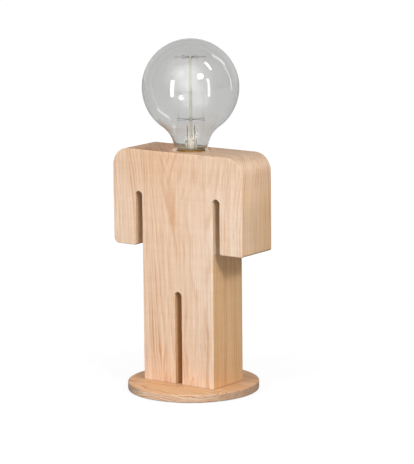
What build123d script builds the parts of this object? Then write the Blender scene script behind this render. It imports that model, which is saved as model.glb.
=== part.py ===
"""A figure lamp: a plain wooden little man on a round disc, with a clear globe bulb for its head."""

from build123d import *
import math
import os

# Frame: millimetres and degrees, origin at the centre of the underside, +Z up, the figure faces -Y.

# Base: a felt disc under a wooden disc
FELT_THICKNESS = 1.0
FELT_INSET = 4.0
BASE_DIAMETER = 130.0
BASE_THICKNESS = 8.0
BASE_EDGE_ROUND = 1.0

# Figure block: one piece of wood, cut by two arm slots and a leg slot
FIGURE_HEIGHT = 230.5
SHOULDER_WIDTH = 155.5
TORSO_WIDTH = 85.0
FIGURE_DEPTH = 49.5
ARM_LENGTH = 96.0
ARM_SLOT_WIDTH = 8.0
ARM_SLOT_HEIGHT = 54.0
LEG_SLOT_WIDTH = 8.0
LEG_SLOT_HEIGHT = 92.5
SHOULDER_RADIUS = 18.0
LEFT_HAND_RADIUS = 6.0
RIGHT_HAND_RADIUS = 2.5
INNER_HAND_RADIUS = 2.0
FIGURE_EDGE_ROUND = 0.9
RECESS_EDGE_ROUND = 0.5

# Cord inlet: a bushing in the back, and a channel from it up to the lampholder
INLET_ABOVE_SLOT = 27.5
BUSHING_DIAMETER = 11.0
BUSHING_BORE = 7.0
BUSHING_LENGTH = 14.0
BUSHING_FLANGE_DIAMETER = 15.5
BUSHING_FLANGE_THICKNESS = 2.0
BUSHING_ROUND = 0.8
BUSHING_FIT = 0.1
CHANNEL_DIAMETER = 10.0

# Countersunk wood screws: the base's four and the lampholder's two
BASE_SCREW_DIAMETER = 4.0
BASE_SCREW_HEAD = 8.0
BASE_SCREW_LENGTH = 33.0
BASE_SCREW_SPACING = 24.0
HOLDER_SCREW_DIAMETER = 3.5
HOLDER_SCREW_HEAD = 6.6
HOLDER_SCREW_LENGTH = 28.0
HOLDER_SCREW_INSET = 3.95
SCREW_CLEARANCE = 0.1
SCREW_POINT_SHARE = 1.2
RECESS_SPAN_SHARE = 0.56
RECESS_WIDTH_SHARE = 0.13
RECESS_DEPTH_SHARE = 0.2

# Bulb cap: a turned shell with a black insulator and a solder tip at its end
CAP_DIAMETER = 26.2
CAP_WALL = 0.4
CAP_RIM_RISE = 1.5
CAP_RIM_FLARE = 0.5
CAP_RIM_HEIGHT = 1.2
CAP_STRAIGHT = 20.0
CAP_TAPER = 2.0
INSULATOR_PROUD = 3.0
INSULATOR_SEAT = 1.0
TIP_DIAMETER = 9.6
TIP_HEIGHT = 1.5
TIP_EDGE = 0.5
CEMENT_WALL = 1.1
CEMENT_SINK = 0.8
CEMENT_HEIGHT = 7.0
CAP_FIT = 0.05

# Bulb glass: a globe, an S-shaped neck and a throat that stands in the cap
GLOBE_DIAMETER = 95.0
NECK_LENGTH = 12.5
NECK_SWEEP = 28.0
NECK_SHOULDER = 4.6
NECK_GAP = 0.3
THROAT_ROUND = 0.8
THROAT_DEPTH = 10.0
GLASS_WALL = 0.8

# Bulb mount: a flared stem, a rod with two beads, support wires, lead wires and the filament
STEM_DIAMETER = 11.6
STEM_WALL = 0.9
STEM_RISE = 3.5
PRESS_WIDTH = 11.6
PRESS_THICKNESS = 4.6
PRESS_BLEND = 5.0
PRESS_HEIGHT = 5.0
PRESS_ROUND = 0.7
DOME_CROWN = 0.4
DOME_STEPS = (30, 60, 80)
DOME_SQUEEZE = 0.3
EXHAUST_DIAMETER = 4.4
EXHAUST_LENGTH = 17.0
ROD_DIAMETER = 3.2
ROD_SEAT = 3.0
BEAD_DIAMETER = 5.0
UPPER_SUPPORT_DROP = 18.0
LOWER_SUPPORT_LIFT = 15.0
SUPPORT_COUNT = 6
SUPPORT_DIAMETER = 0.4
SUPPORT_REACH = 15.0
SUPPORT_SEAT = 1.0
SUPPORT_HOOK = 1.2
SUPPORT_HOOK_BEND = 0.5
FILAMENT_DIAMETER = 0.2
FILAMENT_BEND = 0.45
LEAD_DIAMETER = 0.7
LEAD_OFFSET = 3.6
LEAD_BEND = 1.5
LEAD_STRAIGHT = 2.0
LEAD_TIP_LIFT = 9.2
LEAD_TIP_SPREAD = 3.5
LEAD_TIP_REACH = 4.0
LEAD_LOOP = 3.0
LEAD_GAP = 0.2
MOUNT_FIT = 0.05
MOUNT_TURN = -144.0

# Lampholder: a moulded cup with a screw shell, a sprung centre contact and two terminals
THREAD_CLEARANCE = 0.35
SHELL_WALL = 0.5
SHELL_FIT = 0.1
TAB_WIDTH = 7.0
TAB_REACH = 3.4
HOLDER_WALL = 4.3
HOLDER_WAIST = 1.0
HOLDER_COLLAR = 8.0
HOLDER_FOOT = 6.0
HOLDER_FLOOR = 14.0
HOLDER_ROUND = 0.8
HOLDER_CLEARANCE = 0.4
HOLDER_SINK = 0.4
MOUTH_CLEARANCE = 0.8
MOUTH_DEPTH = 5.0
POCKET_LENGTH = 11.0
POCKET_WIDTH = 10.0
POCKET_HEIGHT = 9.0
WIRING_DIAMETER = 12.0
CONTACT_GAP = 0.2
CONTACT_RISE = 3.0
TONGUE_THICKNESS = 0.5
TONGUE_WIDTH = 7.0
TONGUE_PAD = 4.0
TONGUE_NOSE = 2.0
TONGUE_DROOP = 0.6
TONGUE_LIFT = 0.2
FOOT_END = 2.6
FOLD_GAP = 0.2
RIVET_INSET = 3.45
RIVET_DIAMETER = 3.0
RIVET_HEAD = 4.8
RIVET_HEAD_HEIGHT = 0.9
RIVET_GRIP = 2.0
RIVET_FIT = 0.05
RIVET_CLEARANCE = 0.6
TERMINAL_LENGTH = 8.0
TERMINAL_WIDTH = 7.0
TERMINAL_HEIGHT = 6.0
TERMINAL_WIRE_HOLE = 2.6
TERMINAL_WIRE_DEPTH = 3.6
TERMINAL_SCREW_DIAMETER = 3.0
TERMINAL_SCREW_HEAD = 5.2
TERMINAL_SCREW_HEAD_HEIGHT = 1.8
DRIVER_SLOT_WIDTH = 0.7
DRIVER_SLOT_DEPTH = 0.8

# Every cut runs past the face that it breaks through by this much
OVERRUN = 2.0

# Heights of the main faces
BASE_BOTTOM = FELT_THICKNESS
BASE_TOP = BASE_BOTTOM + BASE_THICKNESS
FIGURE_TOP = BASE_TOP + FIGURE_HEIGHT
ARM_BOTTOM = FIGURE_TOP - ARM_LENGTH
LEG_SLOT_TOP = BASE_TOP + LEG_SLOT_HEIGHT
INLET_HEIGHT = LEG_SLOT_TOP + INLET_ABOVE_SLOT
CAP_RIM = FIGURE_TOP + CAP_RIM_RISE
CAP_LENGTH = CAP_STRAIGHT + CAP_TAPER + INSULATOR_PROUD + TIP_HEIGHT
CONTACT_TOP = CAP_RIM - CAP_LENGTH - CONTACT_GAP
HOLDER_TOP = FIGURE_TOP - HOLDER_SINK
FLOOR_TOP = CONTACT_TOP - CONTACT_RISE
HOLDER_BOTTOM = FLOOR_TOP - HOLDER_FLOOR
POCKET_TOP = HOLDER_BOTTOM + POCKET_HEIGHT

# Radii, from the cap outwards to the recess in the block, and inwards to the glass
CAP_RADIUS = CAP_DIAMETER / 2
SHELL_INNER = CAP_RADIUS + THREAD_CLEARANCE
SHELL_OUTER = SHELL_INNER + SHELL_WALL
HOLDER_INNER = SHELL_OUTER + SHELL_FIT
HOLDER_OUTER = HOLDER_INNER + HOLDER_WALL
MOUTH_RADIUS = max(CAP_RADIUS + CAP_RIM_FLARE + MOUTH_CLEARANCE, HOLDER_INNER)
RECESS_RADIUS = HOLDER_OUTER + HOLDER_CLEARANCE
CAP_INNER = CAP_RADIUS - CAP_WALL
THROAT_RADIUS = CAP_INNER - CEMENT_WALL
SEAL_RADIUS = THROAT_RADIUS - GLASS_WALL - MOUNT_FIT
STEM_RADIUS = STEM_DIAMETER / 2
LEG_CENTRE = (TORSO_WIDTH + LEG_SLOT_WIDTH) / 4

# Places in the lampholder's floor, out from the axis
RIVET_PLACE = SHELL_INNER - RIVET_INSET
HOLDER_SCREW_PLACE = SHELL_INNER - HOLDER_SCREW_INSET
FOLD_PLACE = RIVET_PLACE - RIVET_HEAD / 2 - RIVET_CLEARANCE

# Heights in the bulb, above the cap's rim
GLOBE_RISE = NECK_LENGTH + GLOBE_DIAMETER / 2
PRESS_TOP = STEM_RISE + PRESS_BLEND + PRESS_HEIGHT
DOME_HEIGHT = PRESS_BLEND - DOME_CROWN
LEAD_TIP_RISE = PRESS_TOP + LEAD_TIP_LIFT
LOWER_SUPPORT_RISE = PRESS_TOP + LOWER_SUPPORT_LIFT
UPPER_SUPPORT_RISE = GLOBE_RISE + GLOBE_DIAMETER / 2 - UPPER_SUPPORT_DROP


def drum(radius, low, high):
    """Upright cylinder on the lamp's axis between two heights."""
    return Pos(0, 0, low) * Cylinder(radius, high - low, align=(Align.CENTER, Align.CENTER, Align.MIN))


def turned(outline):
    """Solid of revolution about the lamp's axis from an outline of radius and height."""
    return revolve(Plane.XZ * make_face(outline), Axis.Z)


def wire_along(path, diameter):
    """Round wire that follows a path."""
    return sweep(Plane(path @ 0, z_dir=path % 0) * Circle(diameter / 2), path=path)


def both_sides(shape):
    """A shape and its twin, turned half way round the lamp's axis."""
    return Part() + [shape, Rot(0, 0, 180) * shape]


# Screws

def wood_screw(head, shank, length):
    """Countersunk wood screw that points down, its head flush with height 0."""
    cone = (head - shank) / 2
    point = shank * SCREW_POINT_SHARE
    body = turned(Polyline(
        (0, 0), (head / 2, 0), (shank / 2, -cone), (shank / 2, point - length), (0, -length), close=True
    ))
    bar = Box(head * RECESS_SPAN_SHARE, head * RECESS_WIDTH_SHARE, 2 * head * RECESS_DEPTH_SHARE)
    return body - bar - Rot(0, 0, 90) * bar


def wood_screw_hole(head, shank, length):
    """Countersunk hole for such a screw, wider and deeper by the screw clearance."""
    cone = (head - shank) / 2
    wide = head / 2 + SCREW_CLEARANCE
    narrow = shank / 2 + SCREW_CLEARANCE
    end = -length - SCREW_CLEARANCE
    return turned(Polyline(
        (0, OVERRUN), (wide, OVERRUN), (wide, 0), (narrow, -cone), (narrow, end), (0, end), close=True
    ))


def base_screw_places():
    """Two screws under each leg, heads down in the disc's underside."""
    return [
        Pos(side * LEG_CENTRE, row * BASE_SCREW_SPACING / 2, BASE_BOTTOM) * Rot(180, 0, 0)
        for side in (-1, 1)
        for row in (-1, 1)
    ]


def holder_screw_places():
    """Two screws in the lampholder's floor, one in front of the axis and one behind."""
    return [Pos(0, row * HOLDER_SCREW_PLACE, FLOOR_TOP) for row in (-1, 1)]


def base_screws():
    screw = wood_screw(BASE_SCREW_HEAD, BASE_SCREW_DIAMETER, BASE_SCREW_LENGTH)
    return Part() + [place * screw for place in base_screw_places()]


def base_screw_holes():
    hole = wood_screw_hole(BASE_SCREW_HEAD, BASE_SCREW_DIAMETER, BASE_SCREW_LENGTH)
    return [place * hole for place in base_screw_places()]


def holder_screws():
    screw = wood_screw(HOLDER_SCREW_HEAD, HOLDER_SCREW_DIAMETER, HOLDER_SCREW_LENGTH)
    return Part() + [place * screw for place in holder_screw_places()]


def holder_screw_holes():
    hole = wood_screw_hole(HOLDER_SCREW_HEAD, HOLDER_SCREW_DIAMETER, HOLDER_SCREW_LENGTH)
    return [place * hole for place in holder_screw_places()]


# Base and figure

def base_felt():
    return drum(BASE_DIAMETER / 2 - FELT_INSET, 0, BASE_BOTTOM)


def base_disc():
    disc = drum(BASE_DIAMETER / 2, BASE_BOTTOM, BASE_TOP)
    disc = fillet(disc.edges().filter_by(GeomType.CIRCLE), BASE_EDGE_ROUND)
    return disc - base_screw_holes()


def slot_outline(centre, top, height, width):
    """Slot with a round upper end, open at the bottom of the wood that it cuts."""
    length = height + width
    return Pos(centre, top - length / 2) * SlotOverall(length, width, rotation=90)


def figure_outline():
    """Front view of the figure: shoulders with their arms, torso with its legs, less the three slots."""
    shoulders = Pos(0, FIGURE_TOP - ARM_LENGTH / 2) * Rectangle(SHOULDER_WIDTH, ARM_LENGTH)
    shoulders = fillet(shoulders.vertices().group_by(Axis.Y)[-1], SHOULDER_RADIUS)
    hands = shoulders.vertices().group_by(Axis.Y)[0].sort_by(Axis.X)
    shoulders = fillet(hands[0], LEFT_HAND_RADIUS)
    hands = shoulders.vertices().group_by(Axis.Y)[0].sort_by(Axis.X)
    shoulders = fillet(hands[-1], RIGHT_HAND_RADIUS)
    arm_slot_centre = (TORSO_WIDTH + ARM_SLOT_WIDTH) / 2
    arm_slot_top = ARM_BOTTOM + ARM_SLOT_HEIGHT
    for side in (-1, 1):
        shoulders -= slot_outline(side * arm_slot_centre, arm_slot_top, ARM_SLOT_HEIGHT, ARM_SLOT_WIDTH)
    arm_inner = TORSO_WIDTH / 2 + ARM_SLOT_WIDTH
    inner_hands = [
        corner for corner in shoulders.vertices().group_by(Axis.Y)[0]
        if math.isclose(abs(corner.X), arm_inner)
    ]
    shoulders = fillet(inner_hands, INNER_HAND_RADIUS)
    torso = Pos(0, BASE_TOP + FIGURE_HEIGHT / 2) * Rectangle(TORSO_WIDTH, FIGURE_HEIGHT)
    return shoulders + torso - slot_outline(0, LEG_SLOT_TOP, LEG_SLOT_HEIGHT, LEG_SLOT_WIDTH)


def inlet_place():
    """The inlet's axis, pointing out of the back of the figure from its back face."""
    return Plane((0, FIGURE_DEPTH / 2, INLET_HEIGHT), x_dir=(1, 0, 0), z_dir=(0, 1, 0))


def figure_block():
    block = extrude(Plane.XZ * figure_outline(), FIGURE_DEPTH / 2, both=True)
    faces = block.faces().sort_by(Axis.Y)
    outline = faces[0].edges() + faces[-1].edges()
    eased = [edge for edge in outline if edge.center().Z > BASE_TOP + FIGURE_EDGE_ROUND]
    block = fillet(eased, FIGURE_EDGE_ROUND)
    block -= drum(RECESS_RADIUS, HOLDER_BOTTOM, FIGURE_TOP + OVERRUN)
    mouth = block.edges().filter_by(GeomType.CIRCLE).sort_by(Axis.Z)[-1]
    block = fillet(mouth, RECESS_EDGE_ROUND)
    block -= drum(CHANNEL_DIAMETER / 2, INLET_HEIGHT - BUSHING_DIAMETER / 2, HOLDER_BOTTOM + OVERRUN)
    inlet_align = (Align.CENTER, Align.CENTER, Align.MAX)
    inlet = Cylinder(BUSHING_DIAMETER / 2, FIGURE_DEPTH / 2 + OVERRUN, align=inlet_align)
    block -= inlet_place() * Pos(0, 0, OVERRUN) * inlet
    return block - holder_screw_holes() - base_screw_holes()


def cord_bushing():
    """Flanged sleeve with a rounded mouth; its flange lies on the back of the figure."""
    sleeve = BUSHING_DIAMETER / 2 - BUSHING_FIT
    flange = BUSHING_FLANGE_DIAMETER / 2
    bore = BUSHING_BORE / 2
    bushing = turned(Polyline(
        (bore, -BUSHING_LENGTH), (sleeve, -BUSHING_LENGTH), (sleeve, 0), (flange, 0),
        (flange, BUSHING_FLANGE_THICKNESS), (bore, BUSHING_FLANGE_THICKNESS), close=True,
    ))
    rims = bushing.edges().filter_by(GeomType.CIRCLE).group_by(Axis.Z)[-1]
    return inlet_place() * fillet(rims, BUSHING_ROUND)


# Lampholder

def rivet_hole(low, high):
    """Hole for the rivet on the right of the axis, between two heights."""
    return Pos(RIVET_PLACE) * drum(RIVET_DIAMETER / 2 + RIVET_FIT, low, high)


def holder_body():
    """Moulded cup: collar, waist and foot outside; mouth, shell seat and floor inside; hollows below."""
    waist = HOLDER_OUTER - HOLDER_WAIST
    collar_low = HOLDER_TOP - HOLDER_COLLAR
    foot_high = HOLDER_BOTTOM + HOLDER_FOOT
    mouth_low = HOLDER_TOP - MOUTH_DEPTH
    cup = turned(Polyline(
        (0, HOLDER_BOTTOM), (HOLDER_OUTER, HOLDER_BOTTOM), (HOLDER_OUTER, foot_high),
        (waist, foot_high + HOLDER_WAIST), (waist, collar_low - HOLDER_WAIST), (HOLDER_OUTER, collar_low),
        (HOLDER_OUTER, HOLDER_TOP), (MOUTH_RADIUS, HOLDER_TOP), (MOUTH_RADIUS, mouth_low),
        (HOLDER_INNER, mouth_low), (HOLDER_INNER, FLOOR_TOP), (0, FLOOR_TOP), close=True,
    ))
    rims = cup.edges().filter_by(GeomType.CIRCLE).group_by(Axis.Z)[-1]
    cup = fillet(rims, HOLDER_ROUND)
    cup -= drum(WIRING_DIAMETER / 2, HOLDER_BOTTOM - OVERRUN, POCKET_TOP)
    pocket_align = (Align.CENTER, Align.CENTER, Align.MAX)
    pocket = Box(POCKET_LENGTH, POCKET_WIDTH, POCKET_HEIGHT + OVERRUN, align=pocket_align)
    cup -= both_sides(Pos(RIVET_PLACE, 0, POCKET_TOP) * pocket)
    cup -= both_sides(rivet_hole(HOLDER_BOTTOM, FLOOR_TOP + OVERRUN))
    return cup - holder_screw_holes()


def screw_shell():
    """Sleeve round the cap, with a tab turned in over the holder's floor for its rivet."""
    shell_top = HOLDER_TOP - MOUTH_DEPTH
    sleeve = drum(SHELL_OUTER, FLOOR_TOP, shell_top) - drum(SHELL_INNER, FLOOR_TOP, shell_top)
    tab_start = RIVET_PLACE - TAB_REACH
    tab = Pos(tab_start, 0, FLOOR_TOP) * Box(
        SHELL_OUTER - tab_start, TAB_WIDTH, SHELL_WALL, align=(Align.MIN, Align.CENTER, Align.MIN)
    )
    tab &= drum(SHELL_OUTER, FLOOR_TOP, shell_top)
    return sleeve + tab - rivet_hole(FLOOR_TOP - OVERRUN, FLOOR_TOP + OVERRUN)


def contact_foot():
    """Flat end of the centre contact, riveted to the floor opposite the shell's tab."""
    inner = -FOLD_PLACE - FOLD_GAP
    outer = -RIVET_PLACE - FOOT_END
    foot = Pos(outer, 0, FLOOR_TOP) * Box(
        inner - outer, TONGUE_WIDTH, TONGUE_THICKNESS, align=(Align.MIN, Align.CENTER, Align.MIN)
    )
    return foot - Rot(0, 0, 180) * rivet_hole(FLOOR_TOP - OVERRUN, FLOOR_TOP + OVERRUN)


def contact_tongue():
    """Sprung strip that rises from the fold to a flat pad under the bulb's tip, its nose turned down."""
    pad = CONTACT_TOP - TONGUE_THICKNESS / 2
    fold = FLOOR_TOP + TONGUE_THICKNESS / 2 + TONGUE_LIFT
    line = Polyline(
        (-FOLD_PLACE, fold), (-TONGUE_PAD / 2, pad), (TONGUE_PAD / 2, pad),
        (TONGUE_PAD / 2 + TONGUE_NOSE, pad - TONGUE_DROOP),
    )
    return extrude(Plane.XZ * trace(line, TONGUE_THICKNESS), TONGUE_WIDTH / 2, both=True)


def contact_rivets():
    """A rivet through the foot and one through the tab, each down into its terminal block."""
    shank = RIVET_DIAMETER / 2
    low = POCKET_TOP - RIVET_GRIP
    rivets = []
    for side, seat in ((-1, FLOOR_TOP + TONGUE_THICKNESS), (1, FLOOR_TOP + SHELL_WALL)):
        head = Pos(0, 0, seat) * Cylinder(
            RIVET_HEAD / 2, RIVET_HEAD_HEIGHT, align=(Align.CENTER, Align.CENTER, Align.MIN)
        )
        head = fillet(head.edges().filter_by(GeomType.CIRCLE).sort_by(Axis.Z)[-1], RIVET_HEAD_HEIGHT / 2)
        rivets.append(Pos(side * RIVET_PLACE) * (head + drum(shank, low, seat)))
    return Part() + rivets


def terminal_blocks():
    """Brass blocks under the floor: a wire hole along X, a screw from below, the rivet from above."""
    block = Pos(RIVET_PLACE, 0, POCKET_TOP) * Box(
        TERMINAL_LENGTH, TERMINAL_WIDTH, TERMINAL_HEIGHT, align=(Align.CENTER, Align.CENTER, Align.MAX)
    )
    wire_hole = Cylinder(TERMINAL_WIRE_HOLE / 2, TERMINAL_LENGTH + OVERRUN, rotation=(0, 90, 0))
    block -= Pos(RIVET_PLACE, 0, POCKET_TOP - TERMINAL_WIRE_DEPTH) * wire_hole
    block -= rivet_hole(POCKET_TOP - RIVET_GRIP - RIVET_FIT, POCKET_TOP + OVERRUN)
    block_low = POCKET_TOP - TERMINAL_HEIGHT
    screw_hole = drum(
        TERMINAL_SCREW_DIAMETER / 2 + RIVET_FIT, block_low - OVERRUN, POCKET_TOP - TERMINAL_WIRE_DEPTH
    )
    return both_sides(block - Pos(RIVET_PLACE) * screw_hole)


def terminal_screws():
    """Slotted screws that reach up through the blocks to their wire holes."""
    head_high = POCKET_TOP - TERMINAL_HEIGHT
    head_low = head_high - TERMINAL_SCREW_HEAD_HEIGHT
    wire_low = POCKET_TOP - TERMINAL_WIRE_DEPTH - TERMINAL_WIRE_HOLE / 2
    screw = drum(TERMINAL_SCREW_HEAD / 2, head_low, head_high)
    screw += drum(TERMINAL_SCREW_DIAMETER / 2, head_high, wire_low)
    slot = Pos(0, 0, head_low) * Box(
        TERMINAL_SCREW_HEAD + OVERRUN, DRIVER_SLOT_WIDTH, 2 * DRIVER_SLOT_DEPTH
    )
    return both_sides(Pos(RIVET_PLACE) * (screw - slot))


# Bulb: these pieces are made with height 0 at the cap's rim, and placed by bulb_place

def bulb_place(shape):
    return Pos(0, 0, CAP_RIM) * shape


def mount_place(shape):
    """The pieces inside the glass also turn, so that the leads stand side by side from the front right."""
    return bulb_place(Rot(0, 0, MOUNT_TURN) * shape)


def heading(start, end):
    """Direction from one point of an outline to another."""
    return math.degrees(math.atan2(end[1] - start[1], end[0] - start[0]))


def neck_sweep_centre(globe, shoulder):
    """Centre of the hollow arc that touches both the globe's arc and the shoulder's arc."""
    to_globe = GLOBE_DIAMETER / 2 + NECK_SWEEP
    to_shoulder = NECK_SHOULDER + NECK_SWEEP
    across, rise = shoulder[0] - globe[0], shoulder[1] - globe[1]
    span = math.hypot(across, rise)
    along = (to_globe ** 2 - to_shoulder ** 2 + span ** 2) / (2 * span)
    aside = math.sqrt(to_globe ** 2 - along ** 2)
    x = globe[0] + (along * across - aside * rise) / span
    z = globe[1] + (along * rise + aside * across) / span
    return x, z


def bulb_form(inset, bottom):
    """Solid of the bulb's outer surface, or of a surface inside it by the inset."""
    globe = (0, GLOBE_RISE)
    shoulder = (THROAT_RADIUS + THROAT_ROUND, NECK_GAP + NECK_SHOULDER)
    throat = (THROAT_RADIUS + THROAT_ROUND, NECK_GAP - THROAT_ROUND)
    hollow = neck_sweep_centre(globe, shoulder)
    globe_end = heading(globe, hollow)
    hollow_end = heading(hollow, shoulder)
    crown = CenterArc(globe, GLOBE_DIAMETER / 2 - inset, globe_end, 90 - globe_end)
    neck = CenterArc(hollow, NECK_SWEEP + inset, globe_end + 180, hollow_end - globe_end - 180)
    under = CenterArc(shoulder, NECK_SHOULDER - inset, -90, hollow_end - 90)
    turn = CenterArc(throat, THROAT_ROUND + inset, 90, 90)
    sides = Polyline(
        turn @ 1, (THROAT_RADIUS - inset, bottom), (0, bottom), (0, GLOBE_RISE + GLOBE_DIAMETER / 2 - inset)
    )
    return turned([crown, neck, under, turn, sides])


def globe_glass():
    return bulb_place(bulb_form(0, -THROAT_DEPTH) - bulb_form(GLASS_WALL, -THROAT_DEPTH - OVERRUN))


def cap_shell():
    """Thin shell: flared rim, straight barrel and an end turned in over the insulator."""
    corner = CAP_WALL * math.tan(math.radians(45) / 2)
    square = CAP_WALL * math.sin(math.radians(45))
    low = -CAP_STRAIGHT - CAP_TAPER
    end = CAP_RADIUS - CAP_TAPER
    return bulb_place(turned(Polyline(
        (CAP_RADIUS + CAP_RIM_FLARE, 0), (CAP_RADIUS, -CAP_RIM_HEIGHT), (CAP_RADIUS, -CAP_STRAIGHT),
        (end, low), (end - square, low + square), (CAP_INNER, -CAP_STRAIGHT + corner),
        (CAP_INNER, -CAP_RIM_HEIGHT), (CAP_INNER + CAP_RIM_FLARE, 0), close=True,
    )))


def cap_cement():
    outer = CAP_INNER - CAP_FIT
    inner = THROAT_RADIUS + CAP_FIT
    low = -CEMENT_SINK - CEMENT_HEIGHT
    return bulb_place(drum(outer, low, -CEMENT_SINK) - drum(inner, low, -CEMENT_SINK))


def cap_insulator():
    """Black glass cone: it seats in the turned-in end and carries the tip on its flat face."""
    corner = CAP_WALL * math.tan(math.radians(45) / 2)
    seat = CAP_INNER - CAP_FIT
    turn = -CAP_STRAIGHT + corner
    square = CAP_WALL * math.sin(math.radians(45))
    edge = CAP_RADIUS - CAP_TAPER - square - CAP_FIT
    edge_low = turn - (seat - edge)
    low = -CAP_STRAIGHT - CAP_TAPER - INSULATOR_PROUD
    hole = LEAD_DIAMETER / 2 + LEAD_GAP
    return bulb_place(turned(Polyline(
        (hole, turn + INSULATOR_SEAT), (seat, turn + INSULATOR_SEAT), (seat, turn), (edge, edge_low),
        (TIP_DIAMETER / 2, low), (hole, low), close=True,
    )))


def cap_tip():
    """Domed solder contact, the lowest point of the bulb."""
    top = -CAP_STRAIGHT - CAP_TAPER - INSULATOR_PROUD - CAP_FIT
    edge = top - TIP_EDGE
    side = Polyline((0, -CAP_LENGTH), (0, top), (TIP_DIAMETER / 2, top), (TIP_DIAMETER / 2, edge))
    drop = CAP_LENGTH + edge
    dome = RadiusArc(side @ 1, side @ 0, ((TIP_DIAMETER / 2) ** 2 + drop ** 2) / (2 * drop))
    return bulb_place(turned([side, dome]))


def lead_paths():
    """Paths of the two leads: from the tip and from the shell, through the press, to the filament's ends."""
    exhaust_low = STEM_RISE - EXHAUST_LENGTH
    tip_top = -CAP_STRAIGHT - CAP_TAPER - INSULATOR_PROUD
    paths = []
    for side, ends in (
        (1, [(0, 0, tip_top + LEAD_GAP), (0, 0, exhaust_low - LEAD_LOOP - LEAD_DIAMETER)]),
        (-1, [
            (LEAD_GAP + LEAD_DIAMETER / 2 - CAP_INNER, 0, exhaust_low - LEAD_LOOP),
            (LEAD_LOOP - SEAL_RADIUS, 0, exhaust_low - LEAD_LOOP),
        ]),
    ):
        offset = side * LEAD_OFFSET
        rise = [(offset, 0, exhaust_low), (offset, 0, PRESS_TOP + LEAD_STRAIGHT)]
        tip = (side * LEAD_TIP_SPREAD, LEAD_TIP_REACH, LEAD_TIP_RISE)
        paths.append(FilletPolyline(*ends, *rise, tip, radius=LEAD_BEND))
    return paths


def leads(diameter):
    return [wire_along(path, diameter) for path in lead_paths()]


def lead_wires():
    return mount_place(Part() + leads(LEAD_DIAMETER))


def dome_slice(degrees):
    """Slice of the dome inside the stem, which flattens with the press as it closes."""
    turn = math.radians(degrees)
    width = (STEM_RADIUS - STEM_WALL) * math.cos(turn)
    squeeze = 1 - DOME_SQUEEZE * math.sin(turn)
    return Pos(0, 0, STEM_RISE + DOME_HEIGHT * math.sin(turn)) * Ellipse(width, width * squeeze)


def stem_glass():
    """Trumpet flare that seals the throat, tube that ends in a dome, flat press and exhaust tube, with wire holes."""
    flare = SEAL_RADIUS - STEM_RADIUS
    low = STEM_WALL - THROAT_DEPTH
    bend = (SEAL_RADIUS, low + flare)
    outer = CenterArc(bend, flare, 180, 90)
    inner = CenterArc(bend, flare + STEM_WALL, 180, 90)
    inner_radius = STEM_RADIUS - STEM_WALL
    top = Polyline(outer @ 0, (STEM_RADIUS, STEM_RISE), (inner_radius, STEM_RISE), inner @ 0)
    tube = turned([outer, top, inner, Line(inner @ 1, outer @ 1)])
    press_face = Pos(0, 0, STEM_RISE + PRESS_BLEND) * Ellipse(PRESS_WIDTH / 2, PRESS_THICKNESS / 2)
    press = loft([Pos(0, 0, STEM_RISE) * Circle(STEM_RADIUS), press_face])
    press += extrude(press_face, PRESS_HEIGHT)
    press = fillet(press.faces().sort_by(Axis.Z)[-1].edges(), PRESS_ROUND)
    dome = loft([Pos(0, 0, STEM_RISE) * Circle(inner_radius), *map(dome_slice, DOME_STEPS)])
    exhaust = drum(EXHAUST_DIAMETER / 2, STEM_RISE - EXHAUST_LENGTH, STEM_RISE + DOME_HEIGHT)
    rod_hole = drum(ROD_DIAMETER / 2 + MOUNT_FIT, PRESS_TOP - ROD_SEAT, PRESS_TOP + OVERRUN)
    stem = tube + (press - dome) + exhaust - rod_hole
    return mount_place(stem - leads(LEAD_DIAMETER + 2 * MOUNT_FIT))


def support_angles():
    """Directions of the upper and lower supports; the leads stand in the gap that the lower ones leave."""
    step = 360 / SUPPORT_COUNT
    upper = [90 + step * (index + 1 / 2) for index in range(SUPPORT_COUNT)]
    lower = [90 + step * (index + 1) for index in range(SUPPORT_COUNT - 1)]
    return upper, lower


def supports(angles, rise, hook, diameter):
    """Wires that spread from a bead, each with its end turned up or down to keep the filament on it."""
    arm = wire_along(
        FilletPolyline(
            (SUPPORT_SEAT, 0, rise), (SUPPORT_REACH, 0, rise), (SUPPORT_REACH, 0, rise + hook),
            radius=SUPPORT_HOOK_BEND,
        ),
        diameter,
    )
    return [Rot(0, 0, angle) * arm for angle in angles]


def upper_supports():
    arms = supports(support_angles()[0], UPPER_SUPPORT_RISE, SUPPORT_HOOK, SUPPORT_DIAMETER)
    return mount_place(Part() + arms)


def lower_supports():
    arms = supports(support_angles()[1], LOWER_SUPPORT_RISE, -SUPPORT_HOOK, SUPPORT_DIAMETER)
    return mount_place(Part() + arms)


def support_rod():
    """Glass rod from the press to the top bead, with holes in both beads for the support wires."""
    rod = drum(ROD_DIAMETER / 2, PRESS_TOP - ROD_SEAT, UPPER_SUPPORT_RISE)
    for rise in (LOWER_SUPPORT_RISE, UPPER_SUPPORT_RISE):
        rod += Pos(0, 0, rise) * Sphere(BEAD_DIAMETER / 2)
    upper, lower = support_angles()
    hole = SUPPORT_DIAMETER + 2 * MOUNT_FIT
    rod -= supports(upper, UPPER_SUPPORT_RISE, SUPPORT_HOOK, hole)
    rod -= supports(lower, LOWER_SUPPORT_RISE, -SUPPORT_HOOK, hole)
    return mount_place(rod)


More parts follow.
